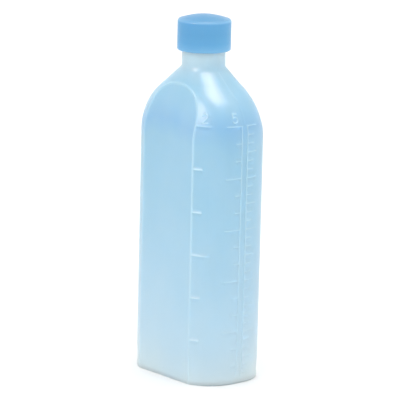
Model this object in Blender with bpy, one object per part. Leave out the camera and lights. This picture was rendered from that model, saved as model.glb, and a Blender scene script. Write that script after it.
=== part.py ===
"""A graduated 300 ml dispensing bottle: a blow-moulded body, a screw cap and the cap's sealing liner.

Metres, +Z up. The origin is the centre of the base. The flat arched panels face -Y and +Y, and the
bulged sides that carry the graduations face -X and +X. The cap's thread is right-handed.
"""

import math

import bmesh
import bpy

MM = 0.001
GAP = 0.3 * MM  # between pieces that touch

# Body section: flat panels at +-Y, and a superelliptical side that starts at each panel's edge
SIDE_HALF_WIDTH = 33.25 * MM
BODY_SQUARENESS = 2.68
ROUND_SQUARENESS = 2.0
BODY_WALL = 1.1 * MM
BASE_FILLET = 1.6 * MM
FLOOR_THICKNESS = 1.3 * MM

# A shallow waist just above the base. The sides draw in to it, and part of the way out again
WAIST_HEIGHT = 3.2 * MM
WAIST_RISE = 10.0 * MM
WAIST_DEPTH = 1.0 * MM
HEEL_INSET = 0.5 * MM

# Flat panels, which lean inwards at the top and end in an arch
PANEL_HALF_WIDTH = 19.3 * MM
PANEL_HALF_SPACING = 21.45 * MM
PANEL_BEND_HEIGHT = 126.3 * MM
PANEL_BEND_RADIUS = 5.5 * MM
PANEL_LEAN = 0.282
ARCH_SPRING_HEIGHT = 127.8 * MM
ARCH_TOP_HEIGHT = 148.9 * MM
ARCH_SQUARENESS = 2.34
ARCH_CROWN_HALF_WIDTH = 2.0 * MM  # the faces above the arch keep this width up to the rim
FOOT_FLARE = 0.5 * MM  # each side of the panel, from the waist down

# Shoulder and neck
SHOULDER_CORNER_HEIGHT = 136.5 * MM
SHOULDER_CORNER_RADIUS = 23.5 * MM
ROUNDING_START = 126.9 * MM  # where the section begins to turn round
ROUNDING_POWER = 0.17
NECK_CORNER_HEIGHT = 156.0 * MM
NECK_CORNER_RADIUS = 3.0 * MM
NECK_RADIUS = 10.9 * MM
BORE_RADIUS = 9.2 * MM
RIM_HEIGHT = 177.2 * MM
RIM_CHAMFER = 0.4 * MM

# Base: a shallow push-up leaves a flat ring to stand on. Its outline is a share of the base's own
PUSH_UP_EDGE_SHARE = 0.75
PUSH_UP_TOP_SHARE = 0.66
PUSH_UP_HEIGHT = 1.0 * MM

# Thread, on the neck and inside the cap
PITCH = 4.0 * MM
THREAD_TURNS = 1.5
THREAD_START_HEIGHT = 168.6 * MM
THREAD_HEIGHT = 1.0 * MM
THREAD_ROOT_WIDTH = 1.8 * MM
THREAD_CREST_WIDTH = 0.8 * MM
THREAD_ROOT_BITE = 0.5 * MM  # how deep the ridge sinks into the wall it grows from
THREAD_SEAT = 1.3 * MM  # how far the cap's ridge lies below the neck's ridge with the cap closed
THREAD_RUN_OUT = math.radians(50.0)
THREAD_STEP = math.radians(9.0)

# Cap
CAP_RADIUS = 13.4 * MM
CAP_BOTTOM_HEIGHT = 164.5 * MM
CAP_EDGE_HEIGHT = 180.35 * MM
CAP_DOME_RISE = 2.1 * MM
CAP_EDGE_RADIUS = 1.5 * MM
CAP_BOTTOM_RADIUS = 0.8 * MM
CAP_BORE_CHAMFER = 0.15 * MM
CAP_BORE_RADIUS = 12.3 * MM
LINER_THICKNESS = 1.0 * MM
LINER_RADIUS = 11.95 * MM

PANEL_STEPS = 6
SIDE_STEPS = 22
CIRCLE_POINTS = 64
ARC_STEPS = 5
ARCH_STEPS = 10
NECK_STEPS = 4
WAIST_STEPS = 4


def clear_scene():
    for obj in list(bpy.data.objects):
        bpy.data.objects.remove(obj)


def make_material(name, color, roughness):
    material = bpy.data.materials.new(name)
    material.use_nodes = True
    shader = material.node_tree.nodes["Principled BSDF"]
    shader.inputs["Base Color"].default_value = (*color, 1.0)
    shader.inputs["Roughness"].default_value = roughness
    shader.inputs["Metallic"].default_value = 0.0
    material.diffuse_color = (*color, 1.0)
    return material


def spread(start, end, steps):
    """steps + 1 values from start to end, both included."""
    return [start + (end - start) * i / steps for i in range(steps + 1)]


# Mesh helpers


def add_object(name, mesh, material):
    mesh.shade_smooth()
    mesh.set_sharp_from_angle(angle=math.radians(30.0))
    mesh.materials.append(material)
    obj = bpy.data.objects.new(name, mesh)
    bpy.context.scene.collection.objects.link(obj)
    return obj


def loft(name, rings, material, pointed=False):
    """A closed body through rings of equal length. Its ends are flat, or fan out from the axis."""
    work = bmesh.new()
    loops = [[work.verts.new(point) for point in ring] for ring in rings]
    count = len(loops[0])
    for lower, upper in zip(loops, loops[1:]):
        for i in range(count):
            j = (i + 1) % count
            work.faces.new((lower[i], lower[j], upper[j], upper[i]))
    for loop in (loops[0], loops[-1]):
        if pointed:
            tip = work.verts.new((0.0, 0.0, loop[0].co.z))
            for i in range(count):
                work.faces.new((loop[i], loop[(i + 1) % count], tip))
        else:
            work.faces.new(loop)
    bmesh.ops.recalc_face_normals(work, faces=work.faces)
    mesh = bpy.data.meshes.new(name)
    work.to_mesh(mesh)
    work.free()
    return add_object(name, mesh, material)


def join(target, ridge):
    """Fuses a thread's ridge to its wall, and leaves the ridge out of the model itself."""
    change = target.modifiers.new(ridge.name, "BOOLEAN")
    change.operation = "UNION"
    change.solver = "EXACT"
    change.object = ridge
    ridge.hide_render = True
    ridge.display_type = "WIRE"


def circle_ring(radius, height):
    ring = []
    for i in range(CIRCLE_POINTS):
        angle = 2.0 * math.pi * i / CIRCLE_POINTS
        ring.append((radius * math.cos(angle), radius * math.sin(angle), height))
    return ring


def thread_ridge(name, wall_radius, outward, start_height, material):
    """A right-handed helical ridge that grows out of a round wall and runs out at both ends.

    outward is 1 for a ridge outside the wall and -1 for one inside it.
    """
    total = 2.0 * math.pi * THREAD_TURNS
    root = wall_radius - outward * THREAD_ROOT_BITE
    rings = []
    for angle in spread(0.0, total, round(total / THREAD_STEP)):
        grown = min(1.0, angle / THREAD_RUN_OUT, (total - angle) / THREAD_RUN_OUT)
        sunk = THREAD_ROOT_BITE * (1.0 - grown) / 2.0
        crest = wall_radius + outward * (THREAD_HEIGHT * grown - sunk)
        middle = start_height + PITCH * angle / (2.0 * math.pi)
        ring = []
        for radius, offset in (
            (root, -THREAD_ROOT_WIDTH / 2.0),
            (crest, -THREAD_CREST_WIDTH / 2.0),
            (crest, THREAD_CREST_WIDTH / 2.0),
            (root, THREAD_ROOT_WIDTH / 2.0),
        ):
            ring.append((radius * math.cos(angle), radius * math.sin(angle), middle + offset))
        rings.append(ring)
    return loft(name, rings, material)


# Shape of the body, by height


def wall_then_slope(height, wall, corner_height, corner_radius, lean):
    """A vertical wall that turns into a slope leaning inwards, with its corner rounded."""
    turn = math.atan(lean)
    tangent = corner_radius * math.tan(turn / 2.0)
    arc_start = corner_height - tangent
    arc_end = corner_height + tangent * math.cos(turn)
    if height <= arc_start:
        return wall
    if height < arc_end:
        return wall - corner_radius + math.sqrt(corner_radius**2 - (height - arc_start) ** 2)
    return wall - lean * (height - corner_height)


def into_neck(height, slope_reach, lean):
    """A shoulder's slope, with a hollow corner where it meets the straight neck."""
    turn = math.atan(lean)
    tangent = NECK_CORNER_RADIUS * math.tan(turn / 2.0)
    arc_start = NECK_CORNER_HEIGHT - tangent * math.cos(turn)
    arc_end = NECK_CORNER_HEIGHT + tangent
    if height >= arc_end:
        return NECK_RADIUS
    if height > arc_start:
        drop = arc_end - height
        return NECK_RADIUS + NECK_CORNER_RADIUS - math.sqrt(NECK_CORNER_RADIUS**2 - drop**2)
    return slope_reach


def panel_plane(height):
    """Distance from the axis to the panel's face."""
    return wall_then_slope(
        height, PANEL_HALF_SPACING, PANEL_BEND_HEIGHT, PANEL_BEND_RADIUS, PANEL_LEAN
    )


def panel_half_width(height):
    """Half the panel's width: flared at the foot, straight, then closing in an arch."""
    if height < WAIST_HEIGHT:
        return PANEL_HALF_WIDTH + FOOT_FLARE * (1.0 - height / WAIST_HEIGHT)
    climb = (height - ARCH_SPRING_HEIGHT) / (ARCH_TOP_HEIGHT - ARCH_SPRING_HEIGHT)
    climb = min(max(climb, 0.0), 1.0)
    return PANEL_HALF_WIDTH * (1.0 - climb**ARCH_SQUARENESS) ** (1.0 / ARCH_SQUARENESS)


def side_reach(height):
    """Half the body's width, before the foot's inset is taken off."""
    lean = (SIDE_HALF_WIDTH - NECK_RADIUS) / (NECK_CORNER_HEIGHT - SHOULDER_CORNER_HEIGHT)
    reach = wall_then_slope(
        height, SIDE_HALF_WIDTH, SHOULDER_CORNER_HEIGHT, SHOULDER_CORNER_RADIUS, lean
    )
    return into_neck(height, reach, lean)


def crown_depth(height):
    """Half the body's depth above the arch."""
    arch_depth = panel_plane(ARCH_TOP_HEIGHT)
    lean = (arch_depth - NECK_RADIUS) / (NECK_CORNER_HEIGHT - ARCH_TOP_HEIGHT)
    return into_neck(height, arch_depth - lean * (height - ARCH_TOP_HEIGHT), lean)


def squareness(height):
    span = NECK_CORNER_HEIGHT - ROUNDING_START
    left = min(max((NECK_CORNER_HEIGHT - height) / span, 0.0), 1.0)
    return ROUND_SQUARENESS + (BODY_SQUARENESS - ROUND_SQUARENESS) * left**ROUNDING_POWER


def foot_inset(height):
    """How far the foot has drawn back from the side, by its waist and the base's rounded edge."""
    if height > WAIST_HEIGHT:
        away = min((height - WAIST_HEIGHT) / WAIST_RISE, 1.0)
        waist = WAIST_DEPTH * (1.0 + math.cos(math.pi * away)) / 2.0
    else:
        away = 1.0 - height / WAIST_HEIGHT
        waist = WAIST_DEPTH - (WAIST_DEPTH - HEEL_INSET) * (1.0 - math.cos(math.pi * away)) / 2.0
    drop = max(BASE_FILLET - height, 0.0)
    return waist + BASE_FILLET - math.sqrt(BASE_FILLET**2 - drop**2)


def section_ring(reach, plane, edge, power, height):
    """One section, anticlockwise from the front panel's -X edge.

    reach is half the width. plane is the panel's distance from the axis, and edge half the panel's
    width; where edge is 0 the section has no flat, and plane is half its depth.
    """
    depth = plane / (1.0 - (edge / reach) ** power) ** (1.0 / power)
    shown = max(edge, ARCH_CROWN_HALF_WIDTH)
    half = []
    for x in spread(-shown, shown, PANEL_STEPS)[:-1]:
        curve = depth * (1.0 - (abs(x) / reach) ** power) ** (1.0 / power)
        half.append((x, -min(plane, curve)))
    corner = min(plane, depth * (1.0 - (shown / reach) ** power) ** (1.0 / power))
    start = math.atan2(corner, shown)
    for angle in spread(-start, start, SIDE_STEPS)[:-1]:
        x_share = math.cos(angle) / reach
        y_share = abs(math.sin(angle)) / depth
        distance = (x_share**power + y_share**power) ** (-1.0 / power)
        half.append((distance * math.cos(angle), distance * math.sin(angle)))
    return [(x, y, height) for x, y in half] + [(-x, -y, height) for x, y in half]


def body_ring(height, wall=0.0, rise=0.0):
    """The bottle's section, drawn in by the wall, and lifted by rise for the inside of the base."""
    reach = side_reach(height) - foot_inset(height) - wall
    if height < ARCH_TOP_HEIGHT:
        plane = panel_plane(height) - wall
        edge = max(panel_half_width(height) - wall / 2.0, 0.0)
    else:
        plane = crown_depth(height) - wall
        edge = 0.0
    return section_ring(reach, plane, edge, squareness(height), height + rise)


def neck_ring(radius, height):
    return section_ring(radius, radius, 0.0, ROUND_SQUARENESS, height)


def push_up_ring(share, height):
    return section_ring(
        share * (SIDE_HALF_WIDTH - foot_inset(0.0)), share * PANEL_HALF_SPACING,
        share * panel_half_width(0.0), BODY_SQUARENESS, height,
    )


def wall_at(height):
    """The wall's thickness, measured level: it grows from the body to the neck."""
    neck_wall = NECK_RADIUS - BORE_RADIUS
    span = NECK_CORNER_HEIGHT - SHOULDER_CORNER_HEIGHT
    share = min(max((height - SHOULDER_CORNER_HEIGHT) / span, 0.0), 1.0)
    return BODY_WALL + (neck_wall - BODY_WALL) * share


def shaft_heights():
    """From the straight body, round the arch in even steps of its curve, to the neck."""
    heights = [PANEL_BEND_HEIGHT - PANEL_BEND_RADIUS]
    heights += spread(PANEL_BEND_HEIGHT - 1.5 * MM, ARCH_SPRING_HEIGHT, 2)
    for angle in spread(0.0, math.pi / 2.0, ARCH_STEPS)[1:]:
        climb = math.sin(angle) ** (2.0 / ARCH_SQUARENESS)
        heights.append(ARCH_SPRING_HEIGHT + (ARCH_TOP_HEIGHT - ARCH_SPRING_HEIGHT) * climb)
    return heights + spread(ARCH_TOP_HEIGHT, NECK_CORNER_HEIGHT + 2.0 * MM, NECK_STEPS)[1:]


def make_bottle(material):
    """One open shell: up the outside from the middle of the base, over the rim and down inside."""
    foot = [BASE_FILLET * (1.0 - math.cos(angle)) for angle in spread(0.0, math.pi / 2.0, ARC_STEPS)]
    foot += spread(WAIST_HEIGHT, WAIST_HEIGHT + WAIST_RISE, WAIST_STEPS)
    shaft = shaft_heights()

    rings = [push_up_ring(PUSH_UP_TOP_SHARE, PUSH_UP_HEIGHT), push_up_ring(PUSH_UP_EDGE_SHARE, 0.0)]
    rings += [body_ring(height) for height in foot + shaft]
    rings.append(neck_ring(NECK_RADIUS, RIM_HEIGHT - RIM_CHAMFER))
    rings.append(neck_ring(NECK_RADIUS - RIM_CHAMFER, RIM_HEIGHT))
    rings.append(neck_ring(BORE_RADIUS + RIM_CHAMFER, RIM_HEIGHT))
    rings.append(neck_ring(BORE_RADIUS, RIM_HEIGHT - RIM_CHAMFER))
    rings += [body_ring(height, wall_at(height)) for height in reversed(shaft)]
    rings += [body_ring(height, BODY_WALL, FLOOR_THICKNESS) for height in reversed(foot)]
    rings.append(push_up_ring(PUSH_UP_EDGE_SHARE, FLOOR_THICKNESS))
    rings.append(push_up_ring(PUSH_UP_TOP_SHARE, FLOOR_THICKNESS + PUSH_UP_HEIGHT))
    bottle = loft("bottle_body", rings, material)
    join(bottle, thread_ridge("neck_thread", NECK_RADIUS, 1.0, THREAD_START_HEIGHT, material))


# Cap and liner, built about the cap's own origin: the middle of its bottom edge


def make_cap(material):
    edge = CAP_EDGE_HEIGHT - CAP_BOTTOM_HEIGHT
    ceiling = RIM_HEIGHT + GAP + LINER_THICKNESS + GAP - CAP_BOTTOM_HEIGHT
    flat = CAP_RADIUS - CAP_EDGE_RADIUS
    rings = [
        circle_ring(CAP_BORE_RADIUS, ceiling),
        circle_ring(CAP_BORE_RADIUS, CAP_BORE_CHAMFER),
        circle_ring(CAP_BORE_RADIUS + CAP_BORE_CHAMFER, 0.0),
    ]
    for angle in spread(0.0, math.pi / 2.0, ARC_STEPS):
        radius = CAP_RADIUS - CAP_BOTTOM_RADIUS * (1.0 - math.sin(angle))
        rings.append(circle_ring(radius, CAP_BOTTOM_RADIUS * (1.0 - math.cos(angle))))
    for angle in spread(0.0, math.pi / 2.0, ARC_STEPS):
        radius = flat + CAP_EDGE_RADIUS * math.cos(angle)
        rings.append(circle_ring(radius, edge - CAP_EDGE_RADIUS * (1.0 - math.sin(angle))))
    for share in (0.75, 0.45, 0.15):
        rings.append(circle_ring(flat * share, edge + CAP_DOME_RISE * (1.0 - share**2)))
    cap = loft("screw_cap", rings, material)
    start = THREAD_START_HEIGHT - THREAD_SEAT - CAP_BOTTOM_HEIGHT
    ridge = thread_ridge("cap_thread", CAP_BORE_RADIUS, -1.0, start, material)
    join(cap, ridge)
    return cap, ridge


def make_liner(material):
    bottom = RIM_HEIGHT + GAP - CAP_BOTTOM_HEIGHT
    rings = [circle_ring(LINER_RADIUS, bottom), circle_ring(LINER_RADIUS, bottom + LINER_THICKNESS)]
    return loft("cap_liner", rings, material, pointed=True)


def main():
    clear_scene()
    make_bottle(make_material("bottle_plastic", (0.39, 0.64, 0.84), 0.45))

    cap_axis = bpy.data.objects.new("cap_axis", None)
    cap_axis.location = (0.0, 0.0, CAP_BOTTOM_HEIGHT)
    bpy.context.scene.collection.objects.link(cap_axis)
    cap, ridge = make_cap(make_material("cap_plastic", (0.16, 0.42, 0.72), 0.4))
    liner = make_liner(make_material("liner_foam", (0.85, 0.86, 0.86), 0.7))
    for obj in (cap, ridge, liner):
        obj.parent = cap_axis


main()
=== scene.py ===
"""Looks for the graduated dispensing bottle: a moulded translucent body with raised scales, its
screw cap and the cap's liner, on a plain floor in soft light. Metres, +Z up, as in the frame.
"""

import math

import bpy
import numpy as np
from mathutils import Matrix, Vector


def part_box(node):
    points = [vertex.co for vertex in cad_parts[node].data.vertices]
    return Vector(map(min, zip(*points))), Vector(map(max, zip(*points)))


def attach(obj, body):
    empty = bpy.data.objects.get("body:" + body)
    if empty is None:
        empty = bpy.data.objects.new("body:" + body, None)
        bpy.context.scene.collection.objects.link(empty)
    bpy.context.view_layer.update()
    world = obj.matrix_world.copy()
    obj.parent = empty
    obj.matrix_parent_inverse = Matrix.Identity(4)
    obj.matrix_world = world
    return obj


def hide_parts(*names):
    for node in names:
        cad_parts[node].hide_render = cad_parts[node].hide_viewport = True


MM = 0.001
TURN = 2.0 * math.pi
TINY = 1e-12

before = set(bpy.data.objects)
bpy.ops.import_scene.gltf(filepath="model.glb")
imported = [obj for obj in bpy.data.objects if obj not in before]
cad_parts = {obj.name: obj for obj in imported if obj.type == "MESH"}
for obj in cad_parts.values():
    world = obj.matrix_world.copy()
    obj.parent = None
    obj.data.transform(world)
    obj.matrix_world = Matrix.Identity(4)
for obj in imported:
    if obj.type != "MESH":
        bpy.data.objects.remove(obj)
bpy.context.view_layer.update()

BODY_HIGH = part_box("bottle_body")[1]
CAP_LOW, CAP_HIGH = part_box("screw_cap")
LINER_LOW, LINER_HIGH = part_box("cap_liner")

# Body section: flat panels at +-Y, and superelliptical sides that start at the panels' edges.
# A squareness is the superellipse's power
SIDE_HALF_WIDTH = BODY_HIGH[0]
PANEL_HALF_SPACING = BODY_HIGH[1]
PANEL_HALF_WIDTH = 19.3 * MM
CIRCLE_SQUARENESS = 2.0
BODY_SQUARENESS = 2.68
BODY_WALL = 1.1 * MM
BASE_FILLET = 1.6 * MM
FLOOR_THICKNESS = 1.3 * MM
WAIST_HEIGHT = 3.2 * MM
WAIST_RISE = 10.0 * MM
WAIST_DEPTH = 1.0 * MM
HEEL_INSET = 0.5 * MM
FOOT_FLARE = 0.5 * MM
FOOT_EDGE_RADIUS = 0.3 * MM

# Panels, which lean in above a soft bend and end in arches
PANEL_BEND_HEIGHT = 126.3 * MM
PANEL_BEND_RADIUS = 26.0 * MM
PANEL_LEAN = 0.282
ARCH_SPRING_HEIGHT = 127.8 * MM
ARCH_TOP_HEIGHT = 148.9 * MM
ARCH_SQUARENESS = 2.34
ARCH_CROWN_HALF_WIDTH = 2.0 * MM

# Shoulder, neck and rim
SHOULDER_CORNER_HEIGHT = 136.5 * MM
SHOULDER_CORNER_RADIUS = 23.5 * MM
ROUNDING_START = 126.9 * MM
ROUNDING_POWER = 0.17
NECK_CORNER_HEIGHT = 156.0 * MM
NECK_CORNER_RADIUS = 3.0 * MM
NECK_STRAIGHT_HEIGHT = NECK_CORNER_HEIGHT + 2.5 * MM
NECK_RADIUS = 10.9 * MM
BORE_RADIUS = 9.2 * MM
RIM_HEIGHT = BODY_HIGH[2]
RIM_RADIUS = 0.4 * MM

# Base, as shares of its own outline
PUSH_UP_EDGE_SHARE = 0.75
PUSH_UP_TOP_SHARE = 0.66
PUSH_UP_HEIGHT = 1.0 * MM

# Threads
PITCH = 4.0 * MM
THREAD_TURNS = 1.5
THREAD_START_HEIGHT = 168.6 * MM
THREAD_HEIGHT = 1.0 * MM
THREAD_CREST = 0.34 * MM  # half width of the ridge's full height
THREAD_SLOPE = 0.429 * MM  # width over which it falls to the wall
THREAD_SEAT = 1.3 * MM  # how far the cap's thread starts below the neck's
THREAD_RUN_OUT = math.radians(50.0)
THREAD_MARGIN = 1.2 * MM
THREAD_RIM_GAP = 1.6 * MM

# Cap
CAP_RADIUS = CAP_HIGH[0]
CAP_BOTTOM = CAP_LOW[2]
CAP_EDGE_HEIGHT = 180.35 * MM
CAP_DOME_RISE = 2.1 * MM
CAP_EDGE_RADIUS = 1.5 * MM
CAP_FOOT_RADIUS = 0.9 * MM
CAP_LIP_RADIUS = 0.15 * MM
CAP_BORE_RADIUS = 12.3 * MM
CAP_CEILING = LINER_HIGH[2] + 0.3 * MM
CAP_CEILING_FILLET = 0.3 * MM
CAP_POINTS = 192

# Liner, with the rim's print in its underside
LINER_EDGE_RADIUS = 0.25 * MM
LINER_PRINT_DEPTH = 0.1 * MM
LINER_POINTS = 160

# Raised marks: three dosing scales on each side, read from a common top line
SCALE_ZERO = 1.2 * MM
SCALE_TOP = 131.1 * MM
MARK_HEIGHT = 0.3 * MM
MARK_SLOPE = 0.22 * MM
MARK_FADE_HEIGHT = 4.0 * MM
BASELINE_OFFSET = 1.75 * MM
BASELINE_HALF_WIDTH = 0.16 * MM
BASELINE_FOOT = SCALE_ZERO + 3.0 * MM
BASELINE_FOOT_FADE = 1.0 * MM
BASELINE_OVERRUN = 0.1 * MM
TICK_HALF_WIDTH = 0.2 * MM
TICK_SHARE = 0.8  # a tick's height as a share of its baseline's
LONG_TICK_EVERY = 3
NUMERAL_BOTTOM = 132.7 * MM
NUMERAL_HEIGHT = 4.3 * MM
NUMERAL_WIDTH = 3.2 * MM
NUMERAL_STROKE = 0.22 * MM
NUMERAL_MARGIN = 0.4 * MM
BEAD_HEIGHT = 0.24 * MM
BEAD_HALF_WIDTH = 0.8 * MM
SEAM_HEIGHT = 0.05 * MM
SEAM_HALF_WIDTH = 0.16 * MM

# Painted highlight: a paler colour on the raised marks and the crease bead, standing in for the light
# they catch, fainter towards the foot
BEAD_HIGHLIGHT_FLAT = 0.3 * MM
BEAD_HIGHLIGHT_SLOPE = 1.1 * MM
BEAD_HIGHLIGHT_SHARE = 0.6
MARK_HIGHLIGHT_FOOT_SHARE = 0.45
MARK_HIGHLIGHT_FOOT_HEIGHT = 15.0 * MM
MARK_HIGHLIGHT_FOOT_RISE = 60.0 * MM

# The slow unevenness of the blown wall, which fades out at the foot and under the neck
SETTLE_DEPTH = 0.06 * MM
SETTLE_FOOT_FADE = 8.0 * MM
SETTLE_TOP = 150.0 * MM
SETTLE_TOP_FADE = 20.0 * MM

# Spacing of the meshes' rows and columns
FINE_STEP = 0.2 * MM
LEAST_COLUMN_GAP = 0.11 * MM
MOST_COLUMN_GAP = 1.7 * MM
LEAST_ROW_GAP = 0.04 * MM
MOST_ROW_GAP = 2.2 * MM
LEAST_ARCH_GAP = 0.3 * MM
LEAST_INNER_GAP = 0.7 * MM
MOST_INNER_GAP = 4.0 * MM
TICK_INNER_ROW = 0.19 * MM
TICK_END_COLUMN = 0.231 * MM
SIDE_SAMPLES = 241
SHARP_ANGLE = math.radians(50.0)

# Camera: a long lens, turned 50 degrees round from the front panel and looking slightly down
CAMERA_AZIMUTH = math.radians(50.17)
CAMERA_ELEVATION = math.radians(12.0)
CAMERA_ROLL = math.radians(1.37)
CAMERA_DISTANCE = 1.468
CAMERA_TARGET = Vector((-0.1 * MM, -0.1 * MM, 88.1 * MM))
CAMERA_LENS = 263.0

# Light: an even white surround, and two lamps that add soft highlights and no diffuse light
SURROUND_STRENGTH = 1.3
LAMP_COLOR = (1.0, 0.80, 0.68)
FLOOR_REACH = 12.0


# Shape of the body


def wall_then_slope(height, wall, corner_height, corner_radius, lean):
    """A vertical wall that turns into a slope leaning inwards, with its corner rounded."""
    turn = math.atan(lean)
    tangent = corner_radius * math.tan(turn / 2.0)
    arc_start = corner_height - tangent
    arc_end = corner_height + tangent * math.cos(turn)
    drop = np.clip(height - arc_start, 0.0, corner_radius)
    arc = wall - corner_radius + np.sqrt(corner_radius**2 - drop**2)
    slope = wall - lean * (height - corner_height)
    return np.where(height < arc_end, arc, slope)


def into_neck(height, slope_reach, lean):
    """A shoulder's slope, with a hollow corner where it meets the straight neck."""
    tangent = NECK_CORNER_RADIUS * math.tan(math.atan(lean) / 2.0)
    arc_start = NECK_CORNER_HEIGHT - tangent * math.cos(math.atan(lean))
    arc_end = NECK_CORNER_HEIGHT + tangent
    rise = np.clip(arc_end - height, 0.0, NECK_CORNER_RADIUS)
    arc = NECK_RADIUS + NECK_CORNER_RADIUS - np.sqrt(NECK_CORNER_RADIUS**2 - rise**2)
    return np.where(height > arc_start, arc, slope_reach)


def panel_plane(height):
    return wall_then_slope(
        height, PANEL_HALF_SPACING, PANEL_BEND_HEIGHT, PANEL_BEND_RADIUS, PANEL_LEAN
    )


def panel_half_width(height):
    climb = (height - ARCH_SPRING_HEIGHT) / (ARCH_TOP_HEIGHT - ARCH_SPRING_HEIGHT)
    left = 1.0 - np.clip(climb, 0.0, 1.0) ** ARCH_SQUARENESS
    flare = FOOT_FLARE * np.clip(1.0 - height / WAIST_HEIGHT, 0.0, 1.0)
    return PANEL_HALF_WIDTH * left ** (1.0 / ARCH_SQUARENESS) + flare


def arch_height(angle):
    """Height on a panel's arch, a quarter turn from its spring line to its top."""
    climb = np.sin(angle) ** (2.0 / ARCH_SQUARENESS)
    return ARCH_SPRING_HEIGHT + (ARCH_TOP_HEIGHT - ARCH_SPRING_HEIGHT) * climb


def side_reach(height):
    lean = (SIDE_HALF_WIDTH - NECK_RADIUS) / (NECK_CORNER_HEIGHT - SHOULDER_CORNER_HEIGHT)
    reach = wall_then_slope(
        height, SIDE_HALF_WIDTH, SHOULDER_CORNER_HEIGHT, SHOULDER_CORNER_RADIUS, lean
    )
    return into_neck(height, reach, lean)


def crown_depth(height):
    """Half the depth of the shoulder above the arches."""
    arch_depth = float(panel_plane(np.array(ARCH_TOP_HEIGHT)))
    lean = (arch_depth - NECK_RADIUS) / (NECK_CORNER_HEIGHT - ARCH_TOP_HEIGHT)
    return into_neck(height, arch_depth - lean * (height - ARCH_TOP_HEIGHT), lean)


def squareness(height):
    span = NECK_CORNER_HEIGHT - ROUNDING_START
    left = np.clip((NECK_CORNER_HEIGHT - height) / span, 0.0, 1.0)
    return CIRCLE_SQUARENESS + (BODY_SQUARENESS - CIRCLE_SQUARENESS) * left**ROUNDING_POWER


def round_inset(height, radius):
    drop = np.clip(radius - height, 0.0, radius)
    return radius - np.sqrt(radius**2 - drop**2)


def foot_inset(height):
    """How far the foot has drawn back from the side, by its waist and the base's rounded edge."""
    above = np.clip((height - WAIST_HEIGHT) / WAIST_RISE, 0.0, 1.0)
    below = np.clip(1.0 - height / WAIST_HEIGHT, 0.0, 1.0)
    waist = WAIST_DEPTH * (1.0 + np.cos(math.pi * above)) / 2.0
    heel = (WAIST_DEPTH - HEEL_INSET) * (1.0 - np.cos(math.pi * below)) / 2.0
    return waist - heel + round_inset(height, BASE_FILLET)


def section(reach, plane, edge, power, columns):
    """One half of a section, the front panel and then the +X side, and half the side's length.

    columns are the points' places along the panel and along the side, each from -1 to 1.
    """
    depth = plane / (1.0 - (edge / reach) ** power) ** (1.0 / power)
    shown = max(edge, ARCH_CROWN_HALF_WIDTH)
    x = shown * columns[0]
    curve = depth * (1.0 - (np.abs(x) / reach) ** power) ** (1.0 / power)
    panel = np.stack([x, -np.minimum(plane, curve)], axis=1)
    corner = min(plane, depth * (1.0 - (shown / reach) ** power) ** (1.0 / power))
    start = math.atan2(corner, shown)
    angle = np.linspace(-start, start, SIDE_SAMPLES)
    x_share = np.cos(angle) / reach
    y_share = np.abs(np.sin(angle)) / depth
    distance = (x_share**power + y_share**power) ** (-1.0 / power)
    path = np.stack([distance * np.cos(angle), distance * np.sin(angle)], axis=1)
    along = np.concatenate([[0.0], np.cumsum(np.hypot(*np.diff(path, axis=0).T))])
    wanted = (columns[1] + 1.0) / 2.0 * along[-1]
    side = np.stack([np.interp(wanted, along, path[:, axis]) for axis in (0, 1)], axis=1)
    return np.concatenate([panel, side]), along[-1] / 2.0


def ring_at(half, height):
    """A whole section from its half, by turning the half about the axis."""
    points = np.concatenate([half, -half])
    return np.column_stack([points, np.full(len(points), height)])


def body_ring(height, columns, wall=0.0, rise=0.0):
    """The body's section at a height, drawn in by a wall's thickness and lifted by rise."""
    at = np.array(height)
    edge_inset = float(round_inset(at, FOOT_EDGE_RADIUS)) if wall == 0.0 else 0.0
    reach = float(side_reach(at) - foot_inset(at)) - wall
    if height < ARCH_TOP_HEIGHT:
        plane = float(panel_plane(at)) - wall - edge_inset
        edge = max(float(panel_half_width(at)) - wall / 2.0 - edge_inset / 2.0, 0.0)
    else:
        plane = float(crown_depth(at)) - wall
        edge = 0.0
    return ring_at(section(reach, plane, edge, float(squareness(at)), columns)[0], height + rise)


def neck_ring(radius, height, columns):
    return ring_at(section(radius, radius, 0.0, CIRCLE_SQUARENESS, columns)[0], height)


def push_up_ring(share, height, columns):
    """The base's own outline, drawn in towards the axis."""
    ring = body_ring(0.0, columns) * np.array([share, share, 0.0])
    return ring + np.array([0.0, 0.0, height])


def wall_at(height):
    """The wall's thickness, which grows over the shoulder to the neck's."""
    neck_wall = NECK_RADIUS - BORE_RADIUS
    span = NECK_CORNER_HEIGHT - SHOULDER_CORNER_HEIGHT
    share = min(max((height - SHOULDER_CORNER_HEIGHT) / span, 0.0), 1.0)
    return BODY_WALL + (neck_wall - BODY_WALL) * share


# Raised marks. Side marks lie in (along, height): along is the distance round the body from y = 0


def fall(distance, flat, slope):
    """1 within flat of a line, falling smoothly to 0 over slope."""
    t = np.clip((distance - flat) / slope, 0.0, 1.0)
    return 1.0 - t * t * (3.0 - 2.0 * t)


def stroke(along, height, points):
    """A numeral's raised stroke along a run of points."""
    nearest = np.full(np.broadcast(along, height).shape, np.inf)
    for (s0, z0), (s1, z1) in zip(points, points[1:]):
        run_s = s1 - s0
        run_z = z1 - z0
        share = ((along - s0) * run_s + (height - z0) * run_z) / (run_s**2 + run_z**2)
        share = np.clip(share, 0.0, 1.0)
        gap = np.hypot(along - s0 - share * run_s, height - z0 - share * run_z)
        nearest = np.minimum(nearest, gap)
    return fall(nearest, NUMERAL_STROKE, MARK_SLOPE)


def arc(center, radii, start, end):
    """Points on an elliptical arc between two angles in degrees."""
    turns = np.radians(np.linspace(start, end, 13))
    return [(center[0] + radii[0] * math.cos(t), center[1] + radii[1] * math.sin(t)) for t in turns]


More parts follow.
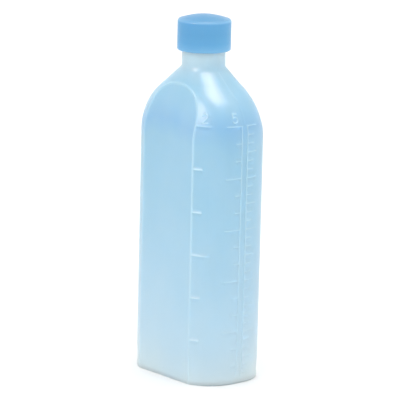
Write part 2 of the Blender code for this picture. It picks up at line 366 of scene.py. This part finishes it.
def digit_stroke(digit):
    """A 2's or a 5's stroke in a box one unit wide and high, from its bottom left corner."""
    if digit == "2":
        return arc((0.5, 0.72), (0.46, 0.28), 165.0, -35.0) + [(0.04, 0.0), (1.0, 0.0)]
    belly = arc((0.46, 0.34), (0.5, 0.33), 130.0, -145.0)
    return [(0.92, 1.0), (0.14, 1.0), (0.08, 0.55)] + belly


class Scale:
    """A row of ticks on one side of a vertical baseline, and maybe a numeral above it.

    base, numeral_at and the ticks' lengths run round the body, and direction is their sign.
    """

    def __init__(self, base, direction, divisions, short, long, numeral=None, numeral_at=None):
        self.base = base
        self.direction = direction
        self.divisions = divisions
        self.short = short
        self.long = long
        self.numeral = numeral
        self.numeral_at = numeral_at

    def heights(self):
        step = (SCALE_TOP - SCALE_ZERO) / self.divisions
        return [SCALE_ZERO + step * (i + 1) for i in range(self.divisions)]

    def tick_end(self, index):
        is_long = (self.divisions - 1 - index) % LONG_TICK_EVERY == 0
        return self.base + self.direction * (self.long if is_long else self.short)

    def ends(self):
        return [self.base + self.direction * length for length in (self.short, self.long)]

    def raised(self, along, height):
        """How far the scale stands out at each point, as a share of a mark's full height."""
        line = fall(np.abs(along - self.base), BASELINE_HALF_WIDTH, MARK_SLOPE)
        foot = fall(BASELINE_FOOT - height, 0.0, BASELINE_FOOT_FADE)
        head = fall(height - SCALE_TOP, BASELINE_OVERRUN, MARK_SLOPE)
        total = line * foot * head
        for index, level in enumerate(self.heights()):
            near, far = sorted((self.base, self.tick_end(index)))
            outside = np.maximum(near - along, along - far)
            tick = fall(np.abs(height - level), TICK_HALF_WIDTH, MARK_SLOPE)
            total = np.maximum(total, TICK_SHARE * tick * fall(outside, 0.0, MARK_SLOPE))
        if self.numeral is None:
            return total
        left = self.numeral_at - NUMERAL_WIDTH / 2.0
        points = [
            (left + NUMERAL_WIDTH * s, NUMERAL_BOTTOM + NUMERAL_HEIGHT * z)
            for s, z in digit_stroke(self.numeral)
        ]
        return np.maximum(total, stroke(along, height, points))


def side_length():
    """Half the length of the body's side curve, from y = 0 to the panel's edge."""
    ends = (np.array([-1.0]), np.array([-1.0]))
    return section(SIDE_HALF_WIDTH, PANEL_HALF_SPACING, PANEL_HALF_WIDTH, BODY_SQUARENESS, ends)[1]


SIDE_LENGTH = side_length()
SCALES = (
    Scale(
        base=-SIDE_LENGTH, direction=1.0, divisions=6, short=5.4 * MM, long=8.8 * MM,
        numeral="2", numeral_at=-SIDE_LENGTH + 5.2 * MM,
    ),
    Scale(
        base=-BASELINE_OFFSET, direction=-1.0, divisions=15, short=3.6 * MM, long=9.0 * MM,
        numeral="5", numeral_at=-5.6 * MM,
    ),
    Scale(base=BASELINE_OFFSET, direction=1.0, divisions=30, short=4.0 * MM, long=6.0 * MM),
)


# Grid lines: close together where a raised mark needs them, and further apart elsewhere


def spread(low, high, step):
    """Evenly spaced values from low to high, at most step apart."""
    count = math.ceil((high - low) / step)
    return [low + (high - low) * i / count for i in range(count + 1)]


def quarter_turn(steps):
    return [math.pi / 2.0 * i / steps for i in range(steps + 1)]


def thin_out(values, least):
    kept = []
    for value in sorted(values):
        if not kept or value - kept[-1] >= least:
            kept.append(value)
    return kept


def fill_gaps(values, most):
    """The values with more between them, so that a gap is at most most, give or take rounding."""
    filled = [values[0]]
    for value in values[1:]:
        count = max(1, math.ceil((value - filled[-1]) / most - 1e-9))
        first = filled[-1]
        filled += [first + (value - first) * i / count for i in range(1, count + 1)]
    return filled


def side_columns():
    """Places round the side for the mesh's columns, from one panel's edge to just before the next."""
    marks = [-SIDE_LENGTH, SIDE_LENGTH, 0.0, -SEAM_HALF_WIDTH, SEAM_HALF_WIDTH]
    for step in (0.3, 0.6, 0.9, 1.4):
        marks += [-SIDE_LENGTH + step * MM, SIDE_LENGTH - step * MM]
    baseline_widths = (BASELINE_HALF_WIDTH, BASELINE_HALF_WIDTH + MARK_SLOPE)
    for scale in SCALES:
        marks += [scale.base + side * width for side in (-1, 1) for width in baseline_widths]
        for end in scale.ends():
            marks += [end, end + scale.direction * TICK_END_COLUMN]
        if scale.numeral:
            half = NUMERAL_WIDTH / 2.0 + TICK_HALF_WIDTH + MARK_SLOPE
            marks += spread(scale.numeral_at - half, scale.numeral_at + half, FINE_STEP)
    marks = [m for m in marks if -SIDE_LENGTH <= m <= SIDE_LENGTH]
    lines = fill_gaps(thin_out(marks, LEAST_COLUMN_GAP), MOST_COLUMN_GAP)
    return np.array(lines[:-1]) / SIDE_LENGTH


def panel_columns():
    """Places across a panel for the mesh's columns, closer together towards its edges."""
    near_edge = [0.9, 0.94, 0.965, 0.985]
    inner = [i / 8.0 for i in range(-7, 8)]
    return np.array(sorted([-1.0] + [-share for share in near_edge] + inner + near_edge))


def body_heights():
    """Heights for the mesh's rows, from the base to where the neck is straight."""
    turns = quarter_turn(8)
    rows = [BASE_FILLET * (1.0 - math.cos(a)) for a in turns]
    rows += [FOOT_EDGE_RADIUS * (1.0 - math.cos(a)) for a in turns[1::2]]
    rows.append(WAIST_HEIGHT)
    finest = max(SCALES, key=lambda scale: scale.divisions)
    widths = (TICK_INNER_ROW, TICK_HALF_WIDTH + MARK_SLOPE)
    for level in finest.heights():
        rows += [level + side * width for side in (-1, 1) for width in widths]
    numeral_top = NUMERAL_BOTTOM + NUMERAL_HEIGHT
    rows += spread(NUMERAL_BOTTOM - NUMERAL_MARGIN, numeral_top + NUMERAL_MARGIN, FINE_STEP)
    rows = fill_gaps(thin_out(rows, LEAST_ROW_GAP), MOST_ROW_GAP)
    lowest_arch_row = rows[-1] + LEAST_ARCH_GAP
    rows += [height for height in map(arch_height, quarter_turn(24)) if height > lowest_arch_row]
    rows += [ARCH_TOP_HEIGHT + step * MM for step in (0.2, 0.45, 0.7, 1.0, 1.5)]
    return fill_gaps(rows + [NECK_STRAIGHT_HEIGHT], MOST_ROW_GAP)


# Mesh building


def quarter_round(first, last, steps, upright):
    """Pairs of radius and height on a quarter turn that sets out upright, or else level."""
    pairs = []
    for angle in quarter_turn(steps):
        early, late = math.sin(angle), 1.0 - math.cos(angle)
        over, up = (late, early) if upright else (early, late)
        pairs.append((first[0] + (last[0] - first[0]) * over, first[1] + (last[1] - first[1]) * up))
    return pairs


def circles(pairs, count):
    """Round rings of count points, from pairs of radius and height."""
    angle = np.arange(count) * TURN / count
    unit = np.stack([np.cos(angle), np.sin(angle)], axis=1)
    return [np.column_stack([radius * unit, np.full(count, height)]) for radius, height in pairs]


def thread_raised(angle, height, start):
    """How far a helical ridge stands out of its wall, as a share of its full height."""
    total = np.zeros(np.broadcast(angle, height).shape)
    for turn in range(math.ceil(THREAD_TURNS)):
        run = np.mod(angle, TURN) + TURN * turn
        grown = np.minimum(run, THREAD_TURNS * TURN - run) / THREAD_RUN_OUT
        level = start + PITCH * run / TURN
        ridge = fall(np.abs(height - level), THREAD_CREST, THREAD_SLOPE)
        total = np.maximum(total, ridge * np.clip(grown, 0.0, 1.0))
    return total


def threaded(rings, radius, start, outward):
    """Round rings with a thread that stands out of them (outward 1) or into them (outward -1)."""
    wall = np.array(rings)
    angle = np.arctan2(wall[:, :, 1], wall[:, :, 0])
    ridge = THREAD_HEIGHT * thread_raised(angle, wall[:, :, 2], start)
    wall[:, :, :2] *= (1.0 + outward * ridge / radius)[..., None]
    return list(wall)


def grid_normals(points):
    """Unit normals of closed rings of points (rows, columns, xyz), facing outwards."""
    across = np.roll(points, -1, axis=1) - np.roll(points, 1, axis=1)
    up = np.gradient(points, axis=0)
    normal = np.cross(across, up)
    length = np.linalg.norm(normal, axis=2, keepdims=True)
    return normal / np.maximum(length, TINY)


def grid_object(name, rings, material, raised=None):
    """A closed body through rings of points, each end closed by a fan round a centre point."""
    rings = np.array(rings)
    rows, columns, _ = rings.shape
    ends = [rings[0].mean(axis=0), rings[-1].mean(axis=0)]
    vertices = np.concatenate([rings.reshape(-1, 3), ends])
    index = np.arange(rows * columns).reshape(rows, columns)
    after = np.roll(index, -1, axis=1)
    quads = np.stack([index[:-1], after[:-1], after[1:], index[1:]], axis=-1).reshape(-1, 4)
    faces = quads.tolist()
    low, high = rows * columns, rows * columns + 1
    faces += [(low, b, a) for a, b in zip(index[0].tolist(), after[0].tolist())]
    faces += [(high, a, b) for a, b in zip(index[-1].tolist(), after[-1].tolist())]
    mesh = bpy.data.meshes.new(name)
    mesh.from_pydata(vertices.tolist(), [], faces)
    # The painted highlight's share at each point, kept as the raised attribute for the material
    if raised is not None:
        layer = mesh.attributes.new("raised", "FLOAT", "POINT")
        layer.data.foreach_set("value", np.concatenate([raised.reshape(-1), [0.0, 0.0]]))
    mesh.validate()
    mesh.shade_smooth()
    mesh.set_sharp_from_angle(angle=SHARP_ANGLE)
    mesh.materials.append(material)
    obj = bpy.data.objects.new(name, mesh)
    bpy.context.scene.collection.objects.link(obj)
    return obj


# Bottle


def near_crease(points):
    """Distance from each point to the line that runs up each panel's edges and round its arch."""
    straight = np.linspace(0.0, ARCH_SPRING_HEIGHT, 60)[:-1]
    heights = np.concatenate([straight, arch_height(np.linspace(0.0, math.pi / 2.0, 160))])
    crease = np.stack([panel_half_width(heights), panel_plane(heights), heights], axis=1)
    folded = np.abs(points.reshape(-1, 3))
    nearest = np.full(len(folded), np.inf)
    for start, end in zip(crease, crease[1:]):
        run = end - start
        share = np.clip((folded - start) @ run / max(run @ run, TINY), 0.0, 1.0)
        gap = np.linalg.norm(folded - start - share[:, None] * run, axis=1)
        nearest = np.minimum(nearest, gap)
    return nearest.reshape(points.shape[:2])


def settle(points):
    """The slow unevenness of a blown wall, as a distance along its normal, in waves of 6 to 11 cm."""
    x, y, z = (points[..., axis] / MM for axis in range(3))
    waves = np.sin(z / 17.0 + 0.6 * np.sin(x / 9.0)) * np.cos(x / 11.0 + 1.3)
    waves = waves * np.cos(y / 13.0 - 0.4)
    above_foot = np.clip(points[..., 2] / SETTLE_FOOT_FADE, 0.0, 1.0)
    below_neck = np.clip((SETTLE_TOP - points[..., 2]) / SETTLE_TOP_FADE, 0.0, 1.0)
    return SETTLE_DEPTH * waves * above_foot * below_neck


def outer_wall(heights, columns):
    """The body's outside with its raised marks, and how much painted highlight each point has: a paler
    colour on the marks and the crease bead that stands in for the light they catch.
    """
    on_panel = np.full(len(columns[0]), np.nan)
    along = np.concatenate([on_panel, columns[1] * SIDE_LENGTH] * 2)
    on_side = ~np.isnan(along)
    along = along[on_side][None, :]

    smooth = np.array([body_ring(height, columns) for height in heights])
    level = smooth[:, :, 2]
    marks = np.zeros(level.shape)
    marks[:, on_side] = np.maximum.reduce([s.raised(along, level[:, on_side]) for s in SCALES])
    seam = np.zeros(level.shape)
    seam[:, on_side] = fall(np.abs(along), 0.0, SEAM_HALF_WIDTH)
    crease_gap = near_crease(smooth)
    bead = fall(crease_gap, 0.0, BEAD_HALF_WIDTH)
    lift = np.maximum(MARK_HEIGHT * marks, BEAD_HEIGHT * bead) + SEAM_HEIGHT * seam
    lift = lift * np.clip(level / MARK_FADE_HEIGHT, 0.0, 1.0) + settle(smooth)
    wall = smooth + grid_normals(smooth) * lift[..., None]

    # Painted highlight: a paler colour on the marks and along the panels' crease, standing in for the
    # light they catch, fainter towards the foot
    climb = np.clip((level - MARK_HIGHLIGHT_FOOT_HEIGHT) / MARK_HIGHLIGHT_FOOT_RISE, 0.0, 1.0)
    highlight_share = MARK_HIGHLIGHT_FOOT_SHARE + (1.0 - MARK_HIGHLIGHT_FOOT_SHARE) * climb
    painted_bead_highlight = BEAD_HIGHLIGHT_SHARE * fall(crease_gap, BEAD_HIGHLIGHT_FLAT, BEAD_HIGHLIGHT_SLOPE)
    return list(wall), highlight_share * np.maximum(marks, painted_bead_highlight)


def neck_and_rim(columns):
    low, high = THREAD_START_HEIGHT - THREAD_MARGIN, RIM_HEIGHT - THREAD_RIM_GAP
    wall = [neck_ring(NECK_RADIUS, height, columns) for height in spread(low, high, FINE_STEP)]
    side = RIM_HEIGHT - RIM_RADIUS
    outer = ((NECK_RADIUS, side), (NECK_RADIUS - RIM_RADIUS, RIM_HEIGHT))
    inner = ((BORE_RADIUS + RIM_RADIUS, RIM_HEIGHT), (BORE_RADIUS, side))
    rim = quarter_round(*outer, 4, upright=True) + quarter_round(*inner, 4, upright=False)
    rim_rings = [neck_ring(radius, height, columns) for radius, height in rim]
    return threaded(wall, NECK_RADIUS, THREAD_START_HEIGHT, 1.0) + rim_rings


def inner_wall(heights, columns):
    """The body's inside, from the bore down to the rounded edge of its floor."""
    rows = fill_gaps(thin_out(heights, LEAST_INNER_GAP), MOST_INNER_GAP)
    rows = [height for height in reversed(rows) if height > BASE_FILLET]
    floor = [BASE_FILLET * (1.0 - math.cos(a)) for a in reversed(quarter_turn(4)[:-1])]
    wall = [body_ring(height, columns, wall_at(height)) for height in rows]
    return wall + [body_ring(height, columns, BODY_WALL, FLOOR_THICKNESS) for height in floor]


def underside(columns):
    """The base from the axis outwards: a level push-up, its slope, and the ring it stands on."""
    level = [(share, 1.0) for share in (0.05, 0.25, 0.45, 0.6, PUSH_UP_TOP_SHARE)]
    slope = [(PUSH_UP_TOP_SHARE + 0.03, 0.72), (PUSH_UP_EDGE_SHARE - 0.02, 0.18)]
    ring = [(PUSH_UP_EDGE_SHARE, 0.0), (0.9, 0.0)]
    return [
        push_up_ring(share, PUSH_UP_HEIGHT * climb, columns)
        for share, climb in level + slope + ring
    ]


def build_bottle(material):
    columns = (panel_columns(), side_columns())
    heights = body_heights()
    outside, painted_highlight = outer_wall(heights, columns)
    under = underside(columns)
    over = [ring + np.array([0.0, 0.0, FLOOR_THICKNESS]) for ring in reversed(under)]
    rings = under + outside + neck_and_rim(columns) + inner_wall(heights, columns) + over
    # Painted highlight for each point: the outside's raised marks and crease get it, the other rows
    # get none
    raised = np.zeros((len(rings), len(rings[0])))
    raised[len(under):len(under) + len(heights)] = painted_highlight
    bottle = grid_object("bottle", rings, material, raised)
    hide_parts("bottle_body")
    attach(bottle, "bottle")


# Cap and liner


def build_cap(material):
    bore, ceiling, fillet = CAP_BORE_RADIUS, CAP_CEILING, CAP_CEILING_FILLET
    roof = [(bore * share, ceiling) for share in (0.05, 0.35, 0.7, 0.95)]
    roof += quarter_round((bore - fillet, ceiling), (bore, ceiling - fillet), 4, upright=False)

    start = THREAD_START_HEIGHT - THREAD_SEAT
    rows = spread(start - THREAD_MARGIN, start + PITCH * THREAD_TURNS + THREAD_MARGIN, FINE_STEP)
    wall = circles([(bore, height) for height in reversed(rows)], CAP_POINTS)

    bottom, lip, foot = CAP_BOTTOM, CAP_LIP_RADIUS, CAP_FOOT_RADIUS
    side_low, side_high = bottom + foot, CAP_EDGE_HEIGHT - CAP_EDGE_RADIUS
    crown = CAP_RADIUS - CAP_EDGE_RADIUS
    outside = quarter_round((bore, bottom + lip), (bore + lip, bottom), 4, upright=True)
    outside += quarter_round((CAP_RADIUS - foot, bottom), (CAP_RADIUS, side_low), 4, upright=False)
    outside += [(CAP_RADIUS, side_low + (side_high - side_low) * i / 5) for i in range(1, 5)]
    outside += quarter_round((CAP_RADIUS, side_high), (crown, CAP_EDGE_HEIGHT), 8, upright=True)
    for share in (0.97, 0.9, 0.8, 0.65, 0.5, 0.35, 0.2, 0.06):
        outside.append((crown * share, CAP_EDGE_HEIGHT + CAP_DOME_RISE * (1.0 - share**2)))

    rings = circles(roof, CAP_POINTS) + threaded(wall, bore, start, -1.0)
    cap = grid_object("cap", rings + circles(outside, CAP_POINTS), material)
    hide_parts("screw_cap")
    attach(cap, "cap")


def build_liner(material):
    radius, soft = LINER_HIGH[0], LINER_EDGE_RADIUS
    bottom, top = LINER_LOW[2], LINER_HIGH[2]
    pairs = [(radius * share, bottom) for share in (0.05, 0.4, 0.72)]
    pairs += [(9.4 * MM, bottom), (9.8 * MM, bottom + LINER_PRINT_DEPTH)]
    pairs += [(10.5 * MM, bottom + LINER_PRINT_DEPTH), (10.9 * MM, bottom)]
    pairs += quarter_round((radius - soft, bottom), (radius, bottom + soft), 4, upright=False)
    pairs += quarter_round((radius, top - soft), (radius - soft, top), 4, upright=True)
    pairs += [(radius * share, top) for share in (0.85, 0.5, 0.05)]
    liner = grid_object("liner", circles(pairs, LINER_POINTS), material)
    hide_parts("cap_liner")
    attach(liner, "liner")


# Materials


class Nodes:
    """A material's node tree, with short ways to add what these plastics need."""

    def __init__(self, name):
        self.material = bpy.data.materials.new(name)
        self.material.use_nodes = True
        self.tree = self.material.node_tree
        self.shader = self.tree.nodes["Principled BSDF"]

    def add(self, kind, **settings):
        node = self.tree.nodes.new(kind)
        for key, value in settings.items():
            setattr(node, key, value)
        return node

    def link(self, source, target):
        self.tree.links.new(source, target)

    def position(self):
        return self.add("ShaderNodeTexCoord").outputs["Object"]

    def noise(self, scale, detail, stretch=(1.0, 1.0, 1.0)):
        mapping = self.add("ShaderNodeMapping")
        mapping.inputs["Scale"].default_value = stretch
        self.link(self.position(), mapping.inputs["Vector"])
        noise = self.add("ShaderNodeTexNoise")
        noise.inputs["Scale"].default_value = scale
        noise.inputs["Detail"].default_value = detail
        self.link(mapping.outputs["Vector"], noise.inputs["Vector"])
        return noise.outputs["Fac"]

    def ramp(self, factor, stops):
        ramp = self.add("ShaderNodeValToRGB")
        elements = ramp.color_ramp.elements
        while len(elements) < len(stops):
            elements.new(0.5)
        for element, (place, color) in zip(elements, stops):
            element.position = place
            element.color = (*color, 1.0)
        self.link(factor, ramp.inputs["Fac"])
        return ramp.outputs["Color"]

    def remap(self, factor, low, high, from_low=0.0, from_high=1.0):
        node = self.add("ShaderNodeMapRange")
        node.inputs["From Min"].default_value = from_low
        node.inputs["From Max"].default_value = from_high
        node.inputs["To Min"].default_value = low
        node.inputs["To Max"].default_value = high
        self.link(factor, node.inputs["Value"])
        return node.outputs["Result"]

    def climb(self, low, high):
        """0 at the height low, rising evenly to 1 at high."""
        place = self.add("ShaderNodeSeparateXYZ")
        self.link(self.position(), place.inputs["Vector"])
        return self.remap(place.outputs["Z"], 0.0, 1.0, low, high)

    def tint(self, factor, shade, color):
        """A shade drawn towards one colour."""
        node = self.add("ShaderNodeMix", data_type="RGBA")
        self.link(factor, node.inputs["Factor"])
        self.link(shade, node.inputs["A"])
        node.inputs["B"].default_value = (*color, 1.0)
        return node.outputs["Result"]

    def bump(self, height, strength, distance, below=None):
        node = self.add("ShaderNodeBump")
        node.inputs["Strength"].default_value = strength
        node.inputs["Distance"].default_value = distance
        self.link(height, node.inputs["Height"])
        if below is not None:
            self.link(below, node.inputs["Normal"])
        return node.outputs["Normal"]


def bottle_plastic():
    """Milky blue polypropylene, tinted throughout by a volume absorption. Its colour is painted light
    and shade by height: paler at the foot and over the top of the shoulder and the neck, and darker in
    a band just below the shoulder. The raised marks and crease get a paler painted highlight.
    """
    n = Nodes("bottle_plastic")
    drift = n.noise(scale=24.0, detail=2.0, stretch=(1.0, 1.0, 0.5))
    drift = n.remap(drift, low=-0.045, high=0.045, from_low=0.3, from_high=0.7)
    wander = n.add("ShaderNodeMath", operation="ADD", use_clamp=True)
    n.link(n.climb(0.0, RIM_HEIGHT), wander.inputs[0])
    n.link(drift, wander.inputs[1])
    # Colour by height, painted light and shade. The foot is paler as painted light against the floor's
    # contact shade, and the top of the shoulder and the neck are paler too. A band of painted shade at
    # about 0.72 of the height, where the panels bend, is darker.
    shade = n.ramp(wander.outputs["Value"], (
        (0.00, (0.86, 0.98, 1.00)),
        (0.06, (0.76, 0.93, 1.00)),
        (0.12, (0.67, 0.88, 0.99)),
        (0.28, (0.56, 0.82, 0.96)),
        (0.50, (0.475, 0.775, 0.93)),
        (0.66, (0.43, 0.745, 0.915)),
        (0.72, (0.34, 0.66, 0.90)),
        (0.78, (0.42, 0.735, 0.92)),
        (0.84, (0.44, 0.76, 0.92)),
        (0.875, (0.56, 0.83, 0.96)),
        (0.91, (0.71, 0.92, 1.00)),
        (1.00, (0.74, 0.93, 1.00)),
    ))
    cloud = n.noise(scale=70.0, detail=4.0, stretch=(1.0, 1.0, 0.6))
    cloud = n.remap(cloud, low=0.0, high=0.14, from_low=0.4, from_high=0.75)
    shade = n.tint(cloud, shade, (0.80, 0.92, 0.98))
    # Painted highlight: the raised attribute draws the colour of the marks and the crease bead towards
    # a paler blue, standing in for the light they catch. Further down, the same attribute also lowers
    # the transmission there.
    marks = n.add("ShaderNodeAttribute", attribute_name="raised").outputs["Fac"]
    shade = n.tint(n.remap(marks, 0.0, 0.45), shade, (0.70, 0.92, 1.00))
    n.link(shade, n.shader.inputs["Base Color"])
    depth = n.add("ShaderNodeVolumeAbsorption")
    depth.inputs["Color"].default_value = (0.45, 0.74, 0.92, 1.0)
    depth.inputs["Density"].default_value = 90.0
    n.link(depth.outputs["Volume"], n.tree.nodes["Material Output"].inputs["Volume"])
    n.link(n.remap(n.noise(scale=120.0, detail=4.0), 0.40, 0.52), n.shader.inputs["Roughness"])
    skin = n.bump(n.noise(scale=1400.0, detail=2.0), strength=0.10, distance=0.2 * MM)
    flow = n.noise(scale=90.0, detail=2.0, stretch=(1.0, 1.0, 0.35))
    flow = n.bump(flow, strength=0.08, distance=0.8 * MM, below=skin)
    n.link(flow, n.shader.inputs["Normal"])
    n.link(n.remap(marks, 0.5, 0.33), n.shader.inputs["Transmission Weight"])
    n.shader.inputs["IOR"].default_value = 1.49
    n.shader.inputs["Specular IOR Level"].default_value = 0.15
    n.shader.inputs["Coat Weight"].default_value = 0.6
    n.shader.inputs["Coat Roughness"].default_value = 0.3
    return n.material


def cap_plastic():
    """Mid-blue polypropylene with a faint flow pattern, its colour painted by height: paler at its
    foot as painted light, a paler band on the upper edge as a painted highlight, and darker over the
    top as painted shade.
    """
    n = Nodes("cap_plastic")
    # Painted light and shade by height: a paler foot, a painted highlight band on the rounded upper
    # edge, and a painted darker top
    shade = n.ramp(n.climb(CAP_BOTTOM, CAP_HIGH[2]), (
        (0.00, (0.200, 0.450, 0.680)),
        (0.10, (0.150, 0.390, 0.640)),
        (0.24, (0.115, 0.350, 0.600)),
        (0.50, (0.108, 0.332, 0.570)),
        (0.79, (0.115, 0.345, 0.590)),
        (0.845, (0.220, 0.460, 0.680)),
        (0.885, (0.110, 0.335, 0.570)),
        (0.94, (0.090, 0.310, 0.545)),
        (1.00, (0.085, 0.300, 0.535)),
    ))
    flow = n.noise(scale=55.0, detail=3.0, stretch=(1.0, 1.0, 0.5))
    flow = n.remap(flow, low=0.0, high=0.25, from_low=0.3, from_high=0.75)
    shade = n.tint(flow, shade, (0.070, 0.270, 0.560))
    n.link(shade, n.shader.inputs["Base Color"])
    n.link(n.remap(n.noise(scale=260.0, detail=5.0), 0.34, 0.48), n.shader.inputs["Roughness"])
    n.shader.inputs["Specular IOR Level"].default_value = 0.15
    n.shader.inputs["Coat Weight"].default_value = 0.2
    n.shader.inputs["Coat Roughness"].default_value = 0.15
    skin = n.bump(n.noise(scale=1600.0, detail=2.0), strength=0.12, distance=0.2 * MM)
    ripple = n.noise(scale=140.0, detail=2.0)
    ripple = n.bump(ripple, strength=0.08, distance=0.6 * MM, below=skin)
    n.link(ripple, n.shader.inputs["Normal"])
    n.shader.inputs["IOR"].default_value = 1.49
    n.shader.inputs["Subsurface Weight"].default_value = 0.15
    n.shader.inputs["Subsurface Radius"].default_value = (0.3, 0.6, 1.0)
    n.shader.inputs["Subsurface Scale"].default_value = 2.0 * MM
    return n.material


def liner_foam():
    """Dull off-white expanded polyethylene, with a fine cell structure."""
    n = Nodes("liner_foam")
    grain = n.noise(scale=700.0, detail=3.0)
    shade = n.ramp(grain, ((0.35, (0.78, 0.79, 0.79)), (0.7, (0.88, 0.88, 0.87))))
    n.link(shade, n.shader.inputs["Base Color"])
    n.link(n.remap(n.noise(scale=300.0, detail=2.0), 0.6, 0.8), n.shader.inputs["Roughness"])
    cells = n.add("ShaderNodeTexVoronoi")
    cells.inputs["Scale"].default_value = 2200.0
    n.link(n.position(), cells.inputs["Vector"])
    pits = n.bump(cells.outputs["Distance"], strength=0.3, distance=0.2 * MM)
    n.link(pits, n.shader.inputs["Normal"])
    return n.material


def floor_paint():
    """Matt near-white, barely uneven."""
    n = Nodes("floor")
    patches = n.noise(scale=3.0, detail=2.0)
    shade = n.ramp(patches, ((0.3, (0.90, 0.90, 0.90)), (0.7, (0.92, 0.92, 0.92))))
    n.link(shade, n.shader.inputs["Base Color"])
    n.shader.inputs["Roughness"].default_value = 0.85
    n.shader.inputs["Specular IOR Level"].default_value = 0.2
    return n.material


# Stage


def build_floor(material):
    mesh = bpy.data.meshes.new("floor")
    signs = ((-1, -1), (1, -1), (1, 1), (-1, 1))
    corners = [(x * FLOOR_REACH, y * FLOOR_REACH, 0.0) for x, y in signs]
    mesh.from_pydata(corners, [], [(0, 1, 2, 3)])
    mesh.materials.append(material)
    floor = bpy.data.objects.new("floor", mesh)
    bpy.context.scene.collection.objects.link(floor)


def add_lamp(name, location, target, size, power):
    """A rectangular lamp aimed at a point, which adds highlights and no diffuse light."""
    light = bpy.data.lights.new(name, "AREA")
    light.shape = "RECTANGLE"
    light.size, light.size_y = size
    light.energy = power
    light.color = LAMP_COLOR
    obj = bpy.data.objects.new(name, light)
    obj.location = location
    obj.rotation_euler = (Vector(target) - obj.location).to_track_quat("-Z", "Y").to_euler()
    obj.visible_diffuse = False
    bpy.context.scene.collection.objects.link(obj)


def build_light():
    world = bpy.data.worlds.new("studio")
    bpy.context.scene.world = world
    world.use_nodes = True
    background = world.node_tree.nodes["Background"]
    background.inputs["Color"].default_value = (1.0, 1.0, 1.0, 1.0)
    background.inputs["Strength"].default_value = SURROUND_STRENGTH
    add_lamp(
        "overhead", location=(0.15, 0.02, 1.15), target=(0.02, -0.007, 0.148),
        size=(0.66, 0.50), power=12.5,
    )
    add_lamp(
        "front", location=(-0.02, -1.02, 0.75), target=(0.02, -0.02, 0.136),
        size=(0.26, 0.42), power=8.0,
    )
    bpy.context.scene.view_settings.view_transform = "Standard"


def build_camera():
    azimuth, elevation = CAMERA_AZIMUTH, CAMERA_ELEVATION
    outward = Vector((
        math.sin(azimuth) * math.cos(elevation),
        -math.cos(azimuth) * math.cos(elevation),
        math.sin(elevation),
    ))
    right = Vector((math.cos(azimuth), math.sin(azimuth), 0.0))
    up = outward.cross(right)
    turned_right = right * math.cos(CAMERA_ROLL) + up * math.sin(CAMERA_ROLL)
    turned_up = up * math.cos(CAMERA_ROLL) - right * math.sin(CAMERA_ROLL)
    camera = bpy.data.cameras.new("camera")
    camera.lens = CAMERA_LENS
    camera.sensor_width = 36.0
    camera.clip_end = 50.0
    obj = bpy.data.objects.new("camera", camera)
    basis = Matrix((turned_right, turned_up, outward)).transposed().to_4x4()
    obj.matrix_world = Matrix.Translation(CAMERA_TARGET + outward * CAMERA_DISTANCE) @ basis
    bpy.context.scene.collection.objects.link(obj)
    bpy.context.scene.camera = obj


build_camera()
build_light()
build_floor(floor_paint())
build_bottle(bottle_plastic())
build_cap(cap_plastic())
build_liner(liner_foam())
